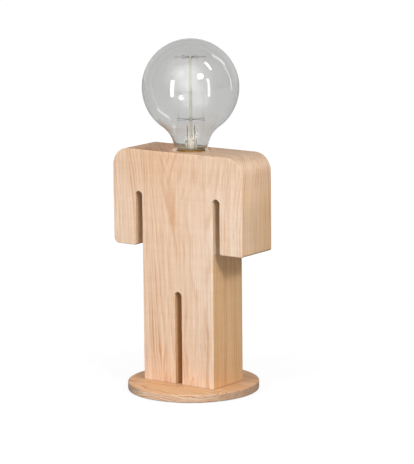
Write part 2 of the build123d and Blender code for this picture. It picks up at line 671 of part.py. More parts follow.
def filament():
    """Zigzag that goes over each upper support and under each lower one, from lead to lead."""
    reach = SUPPORT_REACH - SUPPORT_HOOK
    step = math.radians(360 / SUPPORT_COUNT / 2)
    chord = 2 * reach * math.sin(step / 2)
    rise = UPPER_SUPPORT_RISE - LOWER_SUPPORT_RISE
    lean = math.atan2(chord, rise) - math.asin(2 * FILAMENT_BEND / math.hypot(chord, rise))
    over = FILAMENT_BEND / math.sin(lean)
    upper, lower = support_angles()
    turns = [(angle, UPPER_SUPPORT_RISE + over) for angle in upper]
    turns += [(angle, LOWER_SUPPORT_RISE - over) for angle in lower]
    turns.sort()
    bends = [
        (reach * math.cos(math.radians(angle)), reach * math.sin(math.radians(angle)), height)
        for angle, height in turns
    ]
    right, left = [path @ 1 for path in lead_paths()]
    clear = Vector(0, 0, LEAD_DIAMETER / 2 + LEAD_GAP)
    path = FilletPolyline(left + clear, *bends, right + clear, radius=FILAMENT_BEND)
    return mount_place(wire_along(path, FILAMENT_DIAMETER))


PIECES = (
    base_felt, base_disc, base_screws, figure_block, cord_bushing,
    holder_body, screw_shell, contact_foot, contact_tongue, contact_rivets,
    terminal_blocks, terminal_screws, holder_screws,
    globe_glass, cap_shell, cap_cement, cap_insulator, cap_tip,
    stem_glass, support_rod, upper_supports, lower_supports, lead_wires, filament,
)

os.makedirs("parts", exist_ok=True)
for piece in PIECES:
    export_step(piece(), f"parts/{piece.__name__}.step")
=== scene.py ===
"""Looks of a figure lamp: a plain wooden little man on a round disc, with a clear globe bulb as its head."""

import math
from dataclasses import dataclass

import bmesh
import bpy
from mathutils import Matrix, Vector, noise


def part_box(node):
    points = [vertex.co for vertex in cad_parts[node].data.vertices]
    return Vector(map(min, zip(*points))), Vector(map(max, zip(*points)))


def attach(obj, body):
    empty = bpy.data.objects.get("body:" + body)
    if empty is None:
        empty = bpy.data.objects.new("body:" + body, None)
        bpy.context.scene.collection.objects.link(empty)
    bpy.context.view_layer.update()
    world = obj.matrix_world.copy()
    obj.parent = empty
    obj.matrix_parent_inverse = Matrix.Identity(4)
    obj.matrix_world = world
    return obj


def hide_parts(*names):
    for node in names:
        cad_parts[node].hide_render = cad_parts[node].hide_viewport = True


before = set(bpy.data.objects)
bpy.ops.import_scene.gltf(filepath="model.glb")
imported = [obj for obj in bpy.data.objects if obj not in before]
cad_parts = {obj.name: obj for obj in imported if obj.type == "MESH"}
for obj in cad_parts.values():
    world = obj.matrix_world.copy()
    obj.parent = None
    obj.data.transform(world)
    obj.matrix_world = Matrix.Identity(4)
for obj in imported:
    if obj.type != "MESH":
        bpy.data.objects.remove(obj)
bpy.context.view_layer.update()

bl_info = {
    "name": "Figure lamp",
    "version": (1, 0, 0),
    "blender": (4, 5, 0),
    "location": "View3D > Sidebar > Figure lamp",
    "description": "Finishes a wooden figure lamp with a globe bulb, and sets its studio",
    "category": "Object",
}

MM = 0.001


# Settings

def length(name, description, default):
    """A size that a user may change, in metres."""
    return bpy.props.FloatProperty(
        name=name, description=description, default=default, unit="LENGTH", precision=5
    )


def angle(name, description, default):
    """An angle that a user may change, its default in degrees."""
    return bpy.props.FloatProperty(
        name=name, description=description, default=math.radians(default), unit="ROTATION"
    )


def number(name, description, default):
    """A plain value that a user may change."""
    return bpy.props.FloatProperty(name=name, description=description, default=default)


def colour(name, description, default):
    """A colour or a tint that a user may change."""
    return bpy.props.FloatVectorProperty(
        name=name, description=description, default=default, subtype="COLOR", size=3, min=0, max=1
    )


class WoodSettings(bpy.types.PropertyGroup):
    pale: colour("Early wood", "Pale wood between the ring lines", (0.836, 0.644, 0.49))
    dark: colour("Late wood", "Darker wood of the ring lines", (0.645, 0.36, 0.19))
    heartwood: colour("Heartwood", "Tint of wood near the heart", (0.985, 0.91, 0.85))
    red: colour("Streaks", "Reddish streaks along the grain", (0.69, 0.42, 0.255))
    # Painted shade: a tint that makes the sides warmer and darker than the front
    side_shade: colour("Side", "Tint of the warmer sides", (0.985, 0.81, 0.56))
    end: colour("End grain", "Tint of end grain", (0.48, 0.42, 0.365))
    # Painted light: this tint, made lighter in Wood, makes the sawn slots paler and greyer inside
    sawn: colour("Sawn", "Tint of sawn slots", (0.80, 0.89, 0.95))
    ring: length("Ring width", "Width of one year's growth", 2.7 * MM)


class BulbSettings(bpy.types.PropertyGroup):
    # Painted shade: the grey of the clear glass darkens the globe as the dim room seen through it would
    glass: colour("Glass", "Tint of the clear glass", (0.725, 0.727, 0.72))
    stem: colour("Stem glass", "Tint of the stem", (0.98, 0.95, 0.885))
    rod: colour("Rod glass", "Tint of the support rod", (0.89, 0.865, 0.77))
    neck_sweep: length("Neck sweep", "Radius of the hollow curve of the neck", 28 * MM)
    neck_shoulder: length("Neck shoulder", "Radius of the round under the neck", 4.6 * MM)
    neck_gap: length("Neck gap", "Height of the neck's underside above the cap's rim", 0.3 * MM)
    throat: length("Throat", "Radius of the glass inside the cap", 11.6 * MM)
    throat_round: length("Throat round", "Radius where the throat turns out to the neck", 0.8 * MM)
    wall: length("Glass wall", "Thickness of the glass", 0.8 * MM)
    pitch: length("Thread pitch", "Rise of the cap's thread in one turn", 3.629 * MM)
    crest: length("Thread crest", "Radius of the cap's barrel and of its thread's crest", 13.1 * MM)
    thread_depth: length("Thread depth", "From the thread's crest to its root", 0.85 * MM)
    thread_start: length("Thread start", "From the cap's rim down to the thread", 8.6 * MM)
    thread_gap: length("Thread gap", "Between the cap's thread and the holder's", 0.35 * MM)
    cap_wall: length("Cap wall", "Thickness of the cap's metal", 0.4 * MM)
    cap_rim: length("Cap rim", "Height of the flared rim", 1.2 * MM)
    cap_taper: length("Cap taper", "Height of the turned-in end, which is as deep", 2.0 * MM)
    cap_fit: length("Cap fit", "Room between the pieces in the cap", 0.05 * MM)
    lead_hole: length("Lead hole", "Radius of the wire's hole in the insulator", 0.55 * MM)
    filament: length("Filament", "Diameter of the filament", 0.06 * MM)
    filament_reach: length("Filament reach", "From the bulb's axis to the filament's bends", 13.8 * MM)
    filament_ends: length("Filament ends", "Distance between the ends on the leads", 7.0 * MM)
    filament_set: length("Filament set", "How far the leads' tips stand off the axis", 4.0 * MM)
    hooks: bpy.props.IntProperty(
        name="Hooks", description="Upper supports that carry the filament", default=6
    )
    mount_turn: angle("Mount turn", "How the mount stands turned in the bulb", -144)


class HolderSettings(bpy.types.PropertyGroup):
    shell_wall: length("Shell wall", "Thickness of the screw shell's metal", 0.5 * MM)
    shell_plain: length("Shell ends", "Height of the plain ends beside the shell's thread", 2.4 * MM)
    tab_width: length("Tab width", "Width of the tab that holds the screw shell", 7.0 * MM)
    tab_start: length("Tab start", "From the lamp's axis to the tab's free end", 6.6 * MM)
    rivet_place: length("Rivet place", "From the lamp's axis to the tab's rivet", 10.0 * MM)
    rivet_hole: length("Rivet hole", "Radius of the rivet's hole in the tab", 1.55 * MM)


class FeltSettings(bpy.types.PropertyGroup):
    edge: length("Edge", "Radius of the felt's soft cut edge", 0.35 * MM)
    fray: length("Fray", "How far the fibres make the felt's edge uneven", 0.25 * MM)
    lumps: length("Lumps", "How far the felt's underside is uneven", 0.12 * MM)
    fray_scale: number("Fray scale", "Frayed places to a millimetre of the edge", 0.9)
    lump_scale: number("Lump scale", "Lumps to a millimetre of the underside", 0.35)


class StageSettings(bpy.types.PropertyGroup):
    azimuth: angle("Azimuth", "Camera's angle round the lamp from its front", 36.18)
    elevation: angle("Elevation", "Camera's angle above the horizon", 10.52)
    roll: angle("Roll", "Camera's turn about its own axis", -0.61)
    distance: length("Distance", "From the camera to the lamp", 2.761)
    target: length("Target height", "Height that the camera's distance is measured from", 150 * MM)
    aside: length("Aim aside", "How far right of the lamp's axis the camera aims", 14.66 * MM)
    above: length("Aim above", "How far above the target the camera aims", 7.48 * MM)
    focal: number("Focal length", "Focal length in millimetres on a 36 mm long side", 218.0)
    surroundings: number("Surroundings", "Light level of the room round the lamp", 0.4)
    window_azimuth: angle("Window azimuth", "Angle of the room's window round the lamp", 29)
    window_elevation: angle("Window elevation", "Angle of the room's window above the horizon", 34)
    floor: length("Floor", "Radius of the floor", 9.0)


def group(kind, name, description):
    """A group of settings."""
    return bpy.props.PointerProperty(type=kind, name=name, description=description)


class LampSettings(bpy.types.PropertyGroup):
    wood: group(WoodSettings, "Wood", "Wood of the figure and the disc")
    bulb: group(BulbSettings, "Bulb", "Glass, neck and cap of the bulb")
    holder: group(HolderSettings, "Holder", "Screw shell of the lampholder")
    felt: group(FeltSettings, "Felt", "Felt under the base")
    stage: group(StageSettings, "Stage", "Camera and light")


# Shader sums

class Level:
    """A value that varies over a surface; sums on it add Math nodes to its finish."""

    def __init__(self, finish, socket):
        self.finish = finish
        self.socket = socket

    def math(self, operation, *others, clamp=False):
        settings = {"operation": operation, "use_clamp": clamp}
        return self.finish.node("Math", settings, dict(enumerate((self, *others))))

    def __add__(self, other):
        return self.math("ADD", other)

    __radd__ = __add__

    def __mul__(self, other):
        return self.math("MULTIPLY", other)

    __rmul__ = __mul__

    def __sub__(self, other):
        return self.math("SUBTRACT", other)

    def __rsub__(self, other):
        return self.finish.node("Math", {"operation": "SUBTRACT"}, {0: other, 1: self})

    def __truediv__(self, other):
        return self.math("DIVIDE", other)

    def __pow__(self, other):
        return self.math("POWER", other)

    def __abs__(self):
        return self.math("ABSOLUTE")

    def rise(self, low, high):
        """0 below low, 1 above high and a smooth rise between them; it falls where low is above high."""
        return self.finish.node("MapRange", {"interpolation_type": "SMOOTHSTEP"}, {
            "Value": self, "From Min": low, "From Max": high, "To Min": 0.0, "To Max": 1.0
        })


class Finish:
    """A material under construction: its nodes, its shader and the values that feed it."""

    def __init__(self, name, **constants):
        self.material = bpy.data.materials.new(name)
        self.material.use_nodes = True
        self.tree = self.material.node_tree
        self.shader = next(n for n in self.tree.nodes if n.type == "BSDF_PRINCIPLED")
        for socket, value in constants.items():
            self.feed(socket.replace("_", " "), value)

    @classmethod
    def of_world(cls, world):
        """The world's background, fed in the same way as a material's shader."""
        room = cls.__new__(cls)
        room.tree = world.node_tree
        room.shader = room.tree.nodes["Background"]
        return room

    def node(self, kind, settings, sockets, out=0):
        """Adds a node: its settings first, then the values or links of its sockets. Gives one output."""
        made = self.tree.nodes.new("ShaderNode" + kind)
        for key, value in settings.items():
            if key == "stops":
                self.set_stops(made.color_ramp.elements, value)
            else:
                setattr(made, key, value)
        for place, value in sockets.items():
            self.connect(made.inputs[place], value)
        return Level(self, made.outputs[out])

    def set_stops(self, elements, stops):
        """Gives a ramp its stops, each a position and a grey value."""
        while len(elements) < len(stops):
            elements.new(1)
        for element, (position, value) in zip(elements, stops):
            element.position = position
            element.color = (value, value, value, 1)

    def connect(self, socket, value):
        """Links a varying value to a socket, or sets a constant on it."""
        if isinstance(value, Level):
            self.tree.links.new(value.socket, socket)
        elif socket.type == "RGBA":
            socket.default_value = (*value, 1)
        else:
            socket.default_value = value

    def feed(self, socket, value):
        """Sets or links one input of the shader."""
        self.connect(self.shader.inputs[socket], value)

    def place(self, turn=(0, 0, 0), scale=1 / MM):
        """Object coordinates, in millimetres unless scaled otherwise, and turned."""
        coordinates = self.node("TexCoord", {}, {}, out="Object")
        return self.node("Mapping", {}, {
            "Vector": coordinates, "Rotation": turn, "Scale": (scale, scale, scale)
        })

    def ray(self, kind):
        """1 for rays of one kind, 0 for others."""
        return self.node("LightPath", {}, {}, out=f"Is {kind} Ray")

    def parts(self, vector):
        """The three parts of a vector."""
        split = self.node("SeparateXYZ", {}, {"Vector": vector})
        outputs = split.socket.node.outputs
        return [Level(self, outputs[name]) for name in "XYZ"]

    def cloud(self, point, scale, detail=2.0, rough=0.5):
        """Smooth noise from about -0.5 to 0.5, with one scale or one for each axis."""
        if isinstance(scale, tuple):
            point = self.node("VectorMath", {"operation": "MULTIPLY"}, {0: point, 1: scale})
            scale = 1.0
        return self.node("TexNoise", {}, {
            "Vector": point, "Scale": scale, "Detail": detail, "Roughness": rough
        }) - 0.5

    def blend(self, amount, first, second, how="MIX"):
        """Mixes two colours."""
        settings = {"data_type": "RGBA", "blend_type": how}
        return self.node("Mix", settings, {0: amount, 6: first, 7: second}, out=2)

    def tinted(self, colour_in, tint, amount=1.0):
        """A colour multiplied by a tint, wholly or in part."""
        return self.blend(amount, colour_in, tint, "MULTIPLY")

    def shaded(self, colour_in, *levels):
        """A colour whose red, green and blue are multiplied by a value each."""
        tint = self.node("CombineColor", {}, dict(enumerate(levels)))
        return self.blend(1.0, colour_in, tint, "MULTIPLY")

    def lit(self, colour_in, level):
        """A colour made lighter or darker by a value."""
        return self.shaded(colour_in, level, level, level)

    def drift(self, value, scale, detail):
        """Smooth noise that follows one value, from 0 to 1."""
        settings = {"noise_dimensions": "1D"}
        return self.node("TexNoise", settings, {"W": value, "Scale": scale, "Detail": detail})

    def stained(self, colour_in, level):
        """A colour made deeper or paler as wood is: blue changes most and red least."""
        depth = level - 1.0
        return self.shaded(colour_in, 1.0 + 0.37 * depth, 1.0 + 0.69 * depth, level)

    def relief(self, height, depth, strength=1.0):
        """Bump of a height between 0 and 1, whose full depth is in metres."""
        bump = self.node("Bump", {}, {"Strength": strength, "Distance": depth, "Height": height})
        self.feed("Normal", bump)

    def cover(self, shade, rough, height, depth, strength=1.0):
        """Feeds colour, roughness and relief, and gives the material."""
        self.feed("Base Color", shade)
        self.feed("Roughness", rough)
        self.relief(height, depth, strength)
        return self.material


# Finishes

@dataclass
class Board:
    """How a board lies in its trunk, once turned so that the trunk runs along Z, and how its wood shows, with
    lengths in millimetres."""

    turn: tuple  # brings the trunk upright
    heart: tuple  # the trunk's centre at height 0
    lean: tuple  # how the centre moves with height
    foot: float  # height of the lower edge, which painted shade darkens where the wood stands on what is below
    taper: tuple = (0.0, 0.0)  # how the trunk thins with height, and how much faster above its crown
    first_ring: float = 0.0  # share of a ring at which the first one starts
    core: tuple = ()  # heights between which a darker core shows
    arches: tuple = ()  # place, foot, width, rise and size of each small arch in the grain
    slots: tuple = ()  # place, half width, low end and high end of each pair of sawn slots
    level: float = 1.0  # how light the board is
    contrast: float = 1.0  # how strongly its rings show
    side_shade_strength: float = 1.0  # how much painted shade makes its sides warmer and darker
    ends: float = 1.0  # how strongly its end grain shows


class Wood(Finish):
    """Pale softwood: its methods lay rings, stains, painted shade and light, slots and end grain one over the
    other.
    """

    LATE_WOOD = ((0.0, 0.45), (0.1, 0.0), (0.4, 0.08), (0.7, 0.4), (0.88, 1.0), (1.0, 0.45))
    # Heights between which something starts or ends, in millimetres
    CROWN = 150.0
    LEGS = (150.0, 70.0)
    ARMS = (130.0, 150.0)
    SHOULDERS = (182.0, 206.0)
    CHEST = (185.0, 225.0)
    # Painted shade: heights over which the sides are made warmer and darker
    SIDE_SHADE_BODY = (234.0, 195.0)
    SIDE_SHADE_LEGS = (155.0, 125.0)
    SIDE_SHADE_ARMS = (205.0, 180.0)
    # Painted shade: how high above the lower edge the wood is darkened
    FOOT_SHADE = 1.6
    SLOT_EDGE = 0.3
    SLOT_END = 0.5
    # How much lighter the sawn slots are painted, as painted light inside them, and how the saw ran over the
    # end grain
    SLOT_LIGHT = 1.31
    SAW_TURN = -0.81

    def __init__(self, name, board):
        super().__init__(name, Specular_IOR_Level=0.3)
        self.board = board
        self.colours = bpy.context.scene.figure_lamp.wood
        self.point = self.place(turn=board.turn)
        self.x, self.y, self.z = self.parts(self.point)
        normal = self.node("NewGeometry", {}, {}, out="Normal")
        turned = self.node("Mapping", {"vector_type": "NORMAL"}, {"Vector": normal, "Rotation": board.turn})
        aside, _, self.upward = self.parts(turned)
        self.side = abs(aside).rise(0.5, 0.95)
        self.end = abs(self.upward).rise(0.55, 0.95)
        self.flank = self.side * self.z.rise(*self.ARMS)
        self.fibre = self.grain(2.4, 0.05, detail=4.0, rough=0.65)
        self.blotch = self.grain(0.028, 0.012)
        self.plane = self.grain(0.012, 0.22)
        self.pore = self.grain(0.8, 0.07).rise(0.2, 0.27)
        self.saw = self.cloud(self.place(turn=(0, 0, self.SAW_TURN)), (0.5, 0.03, 0.03))

    def grain(self, across, along, detail=2.0, rough=0.5):
        """Noise drawn out along the grain: how often it changes to a millimetre across and along it."""
        return self.cloud(self.point, (across, across, along), detail, rough)

    def trunk(self):
        """How far each place lies from the heart, how far aside of it, and how much resin is there."""
        board = self.board
        x, y, z = self.x, self.y, self.z
        slow = self.grain(0.012, 0.0045, detail=1.5)
        wavy = self.grain(0.05, 0.018)
        fine = self.grain(0.4, 0.03, detail=3.0)
        middle = abs(x).rise(48.0, 10.0)
        across = x - board.heart[0] - board.lean[0] * z * middle
        across = across + 6.0 * slow + (3.0 + 11.0 * middle) * wavy
        inward = y - board.heart[1] - board.lean[1] * z
        crown = (z - self.CROWN).math("MAXIMUM", 0.0)
        thinning = board.taper[0] * z + board.taper[1] * crown * crown
        ridge = abs(across) / (abs(across) + 15.0)
        radius = (across * across + inward * inward) ** 0.5 + 4.0 * ridge - thinning
        radius = radius + 2.5 * slow + 1.5 * wavy + 0.9 * fine
        resin = 0.0
        for place, foot, width, rise, size in board.arches:
            arch = abs(x - place).rise(width, 0.0) * z.rise(foot + rise, foot)
            radius = radius - size * arch
            resin = resin + arch * arch
        return radius, across, resin

    def rings(self):
        """Pale and dark wood by its rings, deeper at the core and where resin is. Gives the late wood too."""
        board = self.board
        radius, across, resin = self.trunk()
        phase = radius / (self.colours.ring / MM) + 1.6 * self.drift(radius, 0.09, 1.0) + board.first_ring
        year = self.node("TexWhiteNoise", {"noise_dimensions": "1D"}, {"W": phase.math("FLOOR")})
        late = self.node("ValToRGB", {"stops": self.LATE_WOOD}, {"Fac": phase.math("FRACT")})
        late = self.node("RGBToBW", {}, {"Color": late})
        broken = self.grain(0.16, 0.022).rise(-0.3, 0.2)
        legs = (0.2 + 0.5 * self.x.rise(5.0, -5.0)) * self.z.rise(*self.LEGS)
        lines = board.contrast * late * broken * (0.3 + 0.85 * year)
        depth = lines * (0.9 + 1.3 * self.blotch) * (1.0 + legs)
        depth = depth + 0.45 * (self.drift(radius, 0.16, 2.0) - 0.5) + 0.5 * self.blotch + 0.45 * resin
        if board.core:
            low, high = board.core
            pith = self.z.rise(low - 15.0, low + 15.0) * self.z.rise(high + 12.0, high - 8.0)
            depth = depth + 0.4 * abs(across).rise(12.0, 1.0) * pith
        depth = depth.math("ADD", 0.04, clamp=True)
        return self.blend(depth, self.colours.pale, self.colours.dark), late

    def stains(self, shade):
        """Heartwood, reddish streaks, fibres and flecks."""
        heartwood = abs(self.x + 18.0).rise(58.0, 10.0)
        shade = self.tinted(shade, self.colours.heartwood, heartwood)
        blush = self.grain(0.22, 0.006, detail=3.0, rough=0.6).rise(0.02, 0.25)
        shade = self.blend(0.3 * blush, shade, self.colours.red)
        streak = self.grain(0.6, 0.009, detail=4.0, rough=0.7)
        lines = (0.62 * self.fibre + 0.95 * streak) * (1.0 - 0.5 * self.flank)
        lines = lines * (1.0 + 0.1 * self.z.rise(*self.LEGS))
        fleck = self.grain(0.9, 0.5)
        chest = self.z.rise(*self.CHEST)
        level = 1.0 + lines + 0.15 * self.blotch + 0.18 * self.plane + 0.25 * fleck - 0.14 * chest
        return self.stained(shade, level)

    def painted_light_and_pores(self, shade):
        """Painted shade at the foot and on undersides, darker at the back and in pores, and painted light on
        the shoulders' sides.
        """
        # Painted shade along the lower edge, where the wood stands on what is below it
        foot_shade = self.parts(self.place())[2].rise(self.board.foot + self.FOOT_SHADE, self.board.foot)
        # Painted shade on faces that look down
        under = self.upward.rise(-0.15, -0.6)
        back = self.y.rise(-22.0, 26.0)
        # Painted light on the sides of the shoulders
        shoulder_light = self.flank * self.z.rise(*self.SHOULDERS)
        level = self.board.level - 0.3 * foot_shade - 0.35 * under - 0.12 * back - 0.28 * self.pore + 0.13 * shoulder_light
        return self.lit(shade, level)

    def slots_and_sides(self, shade):
        """Painted light that makes the sawn slots lighter and less warm inside, and painted shade that makes
        the sides warmer and darker than the front.
        """
        inside = 0.0
        for place, half, low, high in self.board.slots:
            between = abs(abs(self.x) - place).rise(half + self.SLOT_EDGE, half)
            ends = self.z.rise(low - self.SLOT_END, low) * self.z.rise(high + self.SLOT_END, high)
            inside = inside + between * ends
        # Painted light: the slots' insides are lightened and greyed
        shade = self.tinted(shade, (self.SLOT_LIGHT * part for part in self.colours.sawn), inside)
        # Painted shade: the sides, and the arms' sides towards the back, are made warmer and darker
        side_shade = 0.05 + 0.42 * self.z.rise(*self.SIDE_SHADE_BODY) + 0.53 * self.z.rise(*self.SIDE_SHADE_LEGS)
        side_shade = self.board.side_shade_strength * side_shade * self.side * (1.0 - 0.25 * inside)
        side_shade = side_shade + 0.24 * self.flank * self.y.rise(-2.0, 9.0) * self.z.rise(*self.SIDE_SHADE_ARMS)
        return self.tinted(shade, self.colours.side_shade, side_shade)

    def end_grain(self, shade):
        """End grain with the saw's marks, darker than the faces, and painted shade on it that is strongest on
        the left.
        """
        x = self.x
        cut = self.lit(self.tinted(shade, self.colours.end), 0.95 + 1.5 * self.saw + 0.3 * self.fibre)
        # Painted shade over the end grain, strongest on the left and fading towards the right
        end_shade = 1.0 - 0.55 * x.rise(-30.0, 30.0) - 0.22 * x.rise(30.0, 70.0) - 0.45 * x.rise(-38.0, -70.0)
        return self.blend(self.board.ends * self.end * end_shade, shade, cut)


def wood_finish(name, board):
    """Pale softwood, planed and oiled."""
    wood = Wood(name, board)
    shade, late = wood.rings()
    shade = wood.painted_light_and_pores(wood.stains(shade))
    shade = wood.end_grain(wood.slots_and_sides(shade))
    rough = 0.56 + 0.12 * wood.fibre - 0.08 * late + 0.1 * wood.end
    height = 0.5 + 0.6 * wood.fibre + 0.25 * late + 0.2 * wood.plane - 0.5 * wood.pore
    return wood.cover(shade, rough, height + 0.4 * wood.end * wood.saw, 0.06 * MM, 0.7)


def metal_finish(name, shade, rough, brushed=(1, 1, 1)):
    """Metal with fine drawn lines, rubbed patches and a little tarnish."""
    finish = Finish(name, Metallic=1.0)
    point = finish.place()
    lines = finish.cloud(point, tuple(4 * part for part in brushed), detail=3.0)
    patch = finish.cloud(point, 0.45, detail=3.0)
    dull = patch.rise(-0.02, 0.22)
    dark = tuple(0.45 * part for part in shade)
    shade = finish.lit(finish.blend(0.55 * dull, shade, dark), 1.0 + 0.2 * lines)
    return finish.cover(shade, rough + 0.22 * dull + 0.15 * lines, 0.5 + lines, 0.012 * MM, 0.5)


def glass_finish(name, tint, bend, waves, strength, clear=1.0):
    """Blown or pressed glass: its tint, how strongly it bends light, how many waves to a millimetre it has,
    how strong they are and how clear it is."""
    finish = Finish(name, Base_Color=tint, Roughness=0.0, IOR=bend, Transmission_Weight=clear)
    wave = finish.cloud(finish.place(), waves, detail=0.0)
    finish.relief(0.5 + wave, 0.3 * MM, strength)
    return finish.material


def porcelain_finish():
    """Glazed cream porcelain with faint specks and a soft unevenness of the glaze, given as a darker tan:
    painted shade and painted bounce light from the wood round it.
    """
    finish = Finish("glazed porcelain", Coat_Roughness=0.08, Specular_IOR_Level=0.35)
    point = finish.place()
    speck = finish.cloud(point, 1.6, detail=1.0).rise(0.2, 0.3)
    cloud = finish.cloud(point, 0.12)
    # Painted shade and painted bounce light from the wood: the cream glaze is given as a darker tan
    shade = finish.blend(0.35 * speck, (0.56, 0.42, 0.27), (0.28, 0.20, 0.13))
    finish.feed("Coat Weight", 0.18 + 0.3 * cloud)
    shade = finish.lit(shade, 1.0 + 0.1 * cloud)
    return finish.cover(shade, 0.22 + 0.15 * cloud + 0.1 * speck, 0.5 + cloud, 0.06 * MM, 0.5)


def felt_finish():
    """Pressed wool felt: matted fibres in several directions and a few pale ones."""
    finish = Finish("pressed felt", Specular_IOR_Level=0.1)
    point = finish.place()
    mat = finish.cloud(point, (2.2, 0.7, 2.0), detail=4.0, rough=0.7)
    cross = finish.cloud(point, (0.7, 2.4, 2.0), detail=4.0, rough=0.7)
    pale = (mat + cross).rise(0.1, 0.35)
    shade = finish.blend(pale, (0.12, 0.098, 0.084), (0.36, 0.32, 0.28))
    shade = finish.lit(shade, 1.0 + 0.9 * cross + 0.6 * mat)
    return finish.cover(shade, 0.92 + 0.1 * mat, 0.5 + 0.7 * mat + 0.7 * cross, 0.3 * MM)


def plastic_finish():
    """Moulded plastic with a fine spark texture and faint flow marks."""
    finish = Finish("moulded plastic", Specular_IOR_Level=0.4)
    point = finish.place()
    spark = finish.cloud(point, 3.0)
    flow = finish.cloud(point, (0.12, 0.5, 0.12))
    shade = finish.lit((0.77, 0.73, 0.645), 1.0 + 0.14 * flow)
    return finish.cover(shade, 0.48 + 0.25 * spark, 0.5 + spark, 0.03 * MM, 0.6)


def cement_finish():
    """Baked cement, grainy and matt, paler than its own brown: painted light that brightens the neck seen
    through the glass.
    """
    finish = Finish("baked cement", Specular_IOR_Level=0.2)
    point = finish.place()
    grain = finish.cloud(point, 2.2, detail=4.0, rough=0.7)
    patch = finish.cloud(point, 0.3)
    # Painted light: paler than the cement's own brown, to brighten the neck seen through the glass
    shade = finish.blend(patch + 0.5, (0.56, 0.46, 0.34), (0.68, 0.58, 0.45))
    shade = finish.lit(shade, 1.0 + 0.5 * grain)
    return finish.cover(shade, 0.85 + 0.2 * grain, 0.5 + grain, 0.12 * MM)


def insulator_finish():
    """Fused black glass with small flow rings."""
    finish = Finish("fused black glass", Specular_IOR_Level=0.5)
    flow = finish.cloud(finish.place(), (0.3, 0.3, 1.2))
    shade = finish.blend(flow + 0.5, (0.012, 0.012, 0.014), (0.035, 0.03, 0.028))
    return finish.cover(shade, 0.2 + 0.25 * flow, 0.5 + flow, 0.08 * MM, 0.6)


# Pieces

# Steps of full turns, and of the arcs of the globe, the felt's edge, the tab's root and its hole
TURN_STEPS = 96
GLASS_STEPS = 160
FELT_STEPS = 240
GLOBE_ARC_STEPS = 72
EDGE_STEPS = 3
ROOT_STEPS = 8
HOLE_STEPS = 20
# Parts of one pitch of thread, and the longest straight runs of other outlines
PITCH_PARTS = 10
FELT_RUN = 3 * MM
INSULATOR_RUN = 1 * MM
# Vertices nearer than this are one
MERGE = 0.004 * MM


def dress(material, *nodes):
    """Gives CAD nodes a finish."""
    for name in nodes:
        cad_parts[name].material_slots[0].material = material


def add_object(name, data):
    """Puts a new object into the scene."""
    added = bpy.data.objects.new(name, data)
    bpy.context.scene.collection.objects.link(added)
    return added


def add_mesh(bm, name, material):
    """Turns a bmesh into an object with one finish."""
    mesh = bpy.data.meshes.new(name)
    bm.to_mesh(mesh)
    bm.free()
    mesh.materials.append(material)
    return add_object(name, mesh)


def stand_in(piece, node, body):
    """Lets a piece stand for a CAD node and ride on its body."""
    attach(piece, body)
    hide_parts(node)
    return piece


def smooth(bm, degrees):
    """Smooth faces, with edges that turn by more than so many degrees kept sharp."""
    limit = math.radians(degrees)
    for face in bm.faces:
        face.smooth = True
    for edge in bm.edges:
        edge.smooth = len(edge.link_faces) < 2 or edge.calc_face_angle(0) < limit


def line_to(bm, spot, *corners):
    """Draws straight runs of a turned outline to corners of radius and height, and gives the last one."""
    for radius, height in corners:
        made = bmesh.ops.extrude_vert_indiv(bm, verts=[spot])
        spot = made["verts"][0]
        spot.co = (radius, 0, height)
    return spot


def arc_from(bm, start, centre, axis, sweep, steps):
    """Draws an arc round an axis through a centre, and gives its end."""
    made = bmesh.ops.spin(bm, geom=[start], cent=centre, axis=axis, angle=sweep, steps=steps)
    return next(g for g in made["geom_last"] if isinstance(g, bmesh.types.BMVert))


def arc_about(bm, start, centre, sweep, steps):
    """Draws an arc of a turned outline round a centre of radius and height, and gives its end."""
    return arc_from(bm, start, (centre[0], 0, centre[1]), (0, -1, 0), sweep, steps)


def turn_outline(bm, steps):
    """Spins all that is drawn once round the lamp's axis, merges it and points its faces outwards."""
    bmesh.ops.spin(
        bm, geom=bm.verts[:] + bm.edges[:], cent=(0, 0, 0), axis=(0, 0, 1), angle=math.tau, steps=steps,
        use_merge=True,
    )
    bmesh.ops.remove_doubles(bm, verts=bm.verts[:], dist=MERGE)
    bmesh.ops.recalc_face_normals(bm, faces=bm.faces[:])


def divide_runs(bm, step):
    """Divides the straight runs of an outline into pieces no longer than a step."""
    for edge in bm.edges[:]:
        cuts = int(edge.calc_length() / step)
        if cuts:
            bmesh.ops.subdivide_edges(bm, edges=[edge], cuts=cuts)


def give_wall(bm, thickness, outwards):
    """Gives a turned sheet its wall, which grows outwards or inwards: away from where the faces point."""
    face = bm.faces[:][0]
    face.normal_update()
    if (face.normal.dot(face.calc_center_median()) > 0) == outwards:
        bmesh.ops.reverse_faces(bm, faces=bm.faces[:])
    bmesh.ops.solidify(bm, geom=bm.faces[:], thickness=thickness)


def ease(value):
    """A smooth step from 0 to 1."""
    value = min(max(value, 0), 1)
    return value * value * (3 - 2 * value)


def roll_thread(bm, settings, crest, start, stop):
    """Rolls a right-hand thread into a turned sleeve, between two heights where it fades in and out. The
    groove goes no further out than the crest, so an end that is turned in stays round."""
    fade = settings.pitch / 3
    for vert in bm.verts:
        turns = vert.co.z / settings.pitch - math.atan2(vert.co.y, vert.co.x) / math.tau
        groove = 0.5 - 0.5 * math.cos(math.tau * turns)
        strength = ease((start - vert.co.z) / fade) * ease((vert.co.z - stop) / fade)
        radius = math.hypot(vert.co.x, vert.co.y)
        rolled = min(radius, crest - settings.thread_depth * groove * strength) if strength else radius
        vert.co.xy *= rolled / radius


def heading(start, end):
    """Angle of the line from one place of an outline to another."""
    return math.atan2(end[1] - start[1], end[0] - start[0])


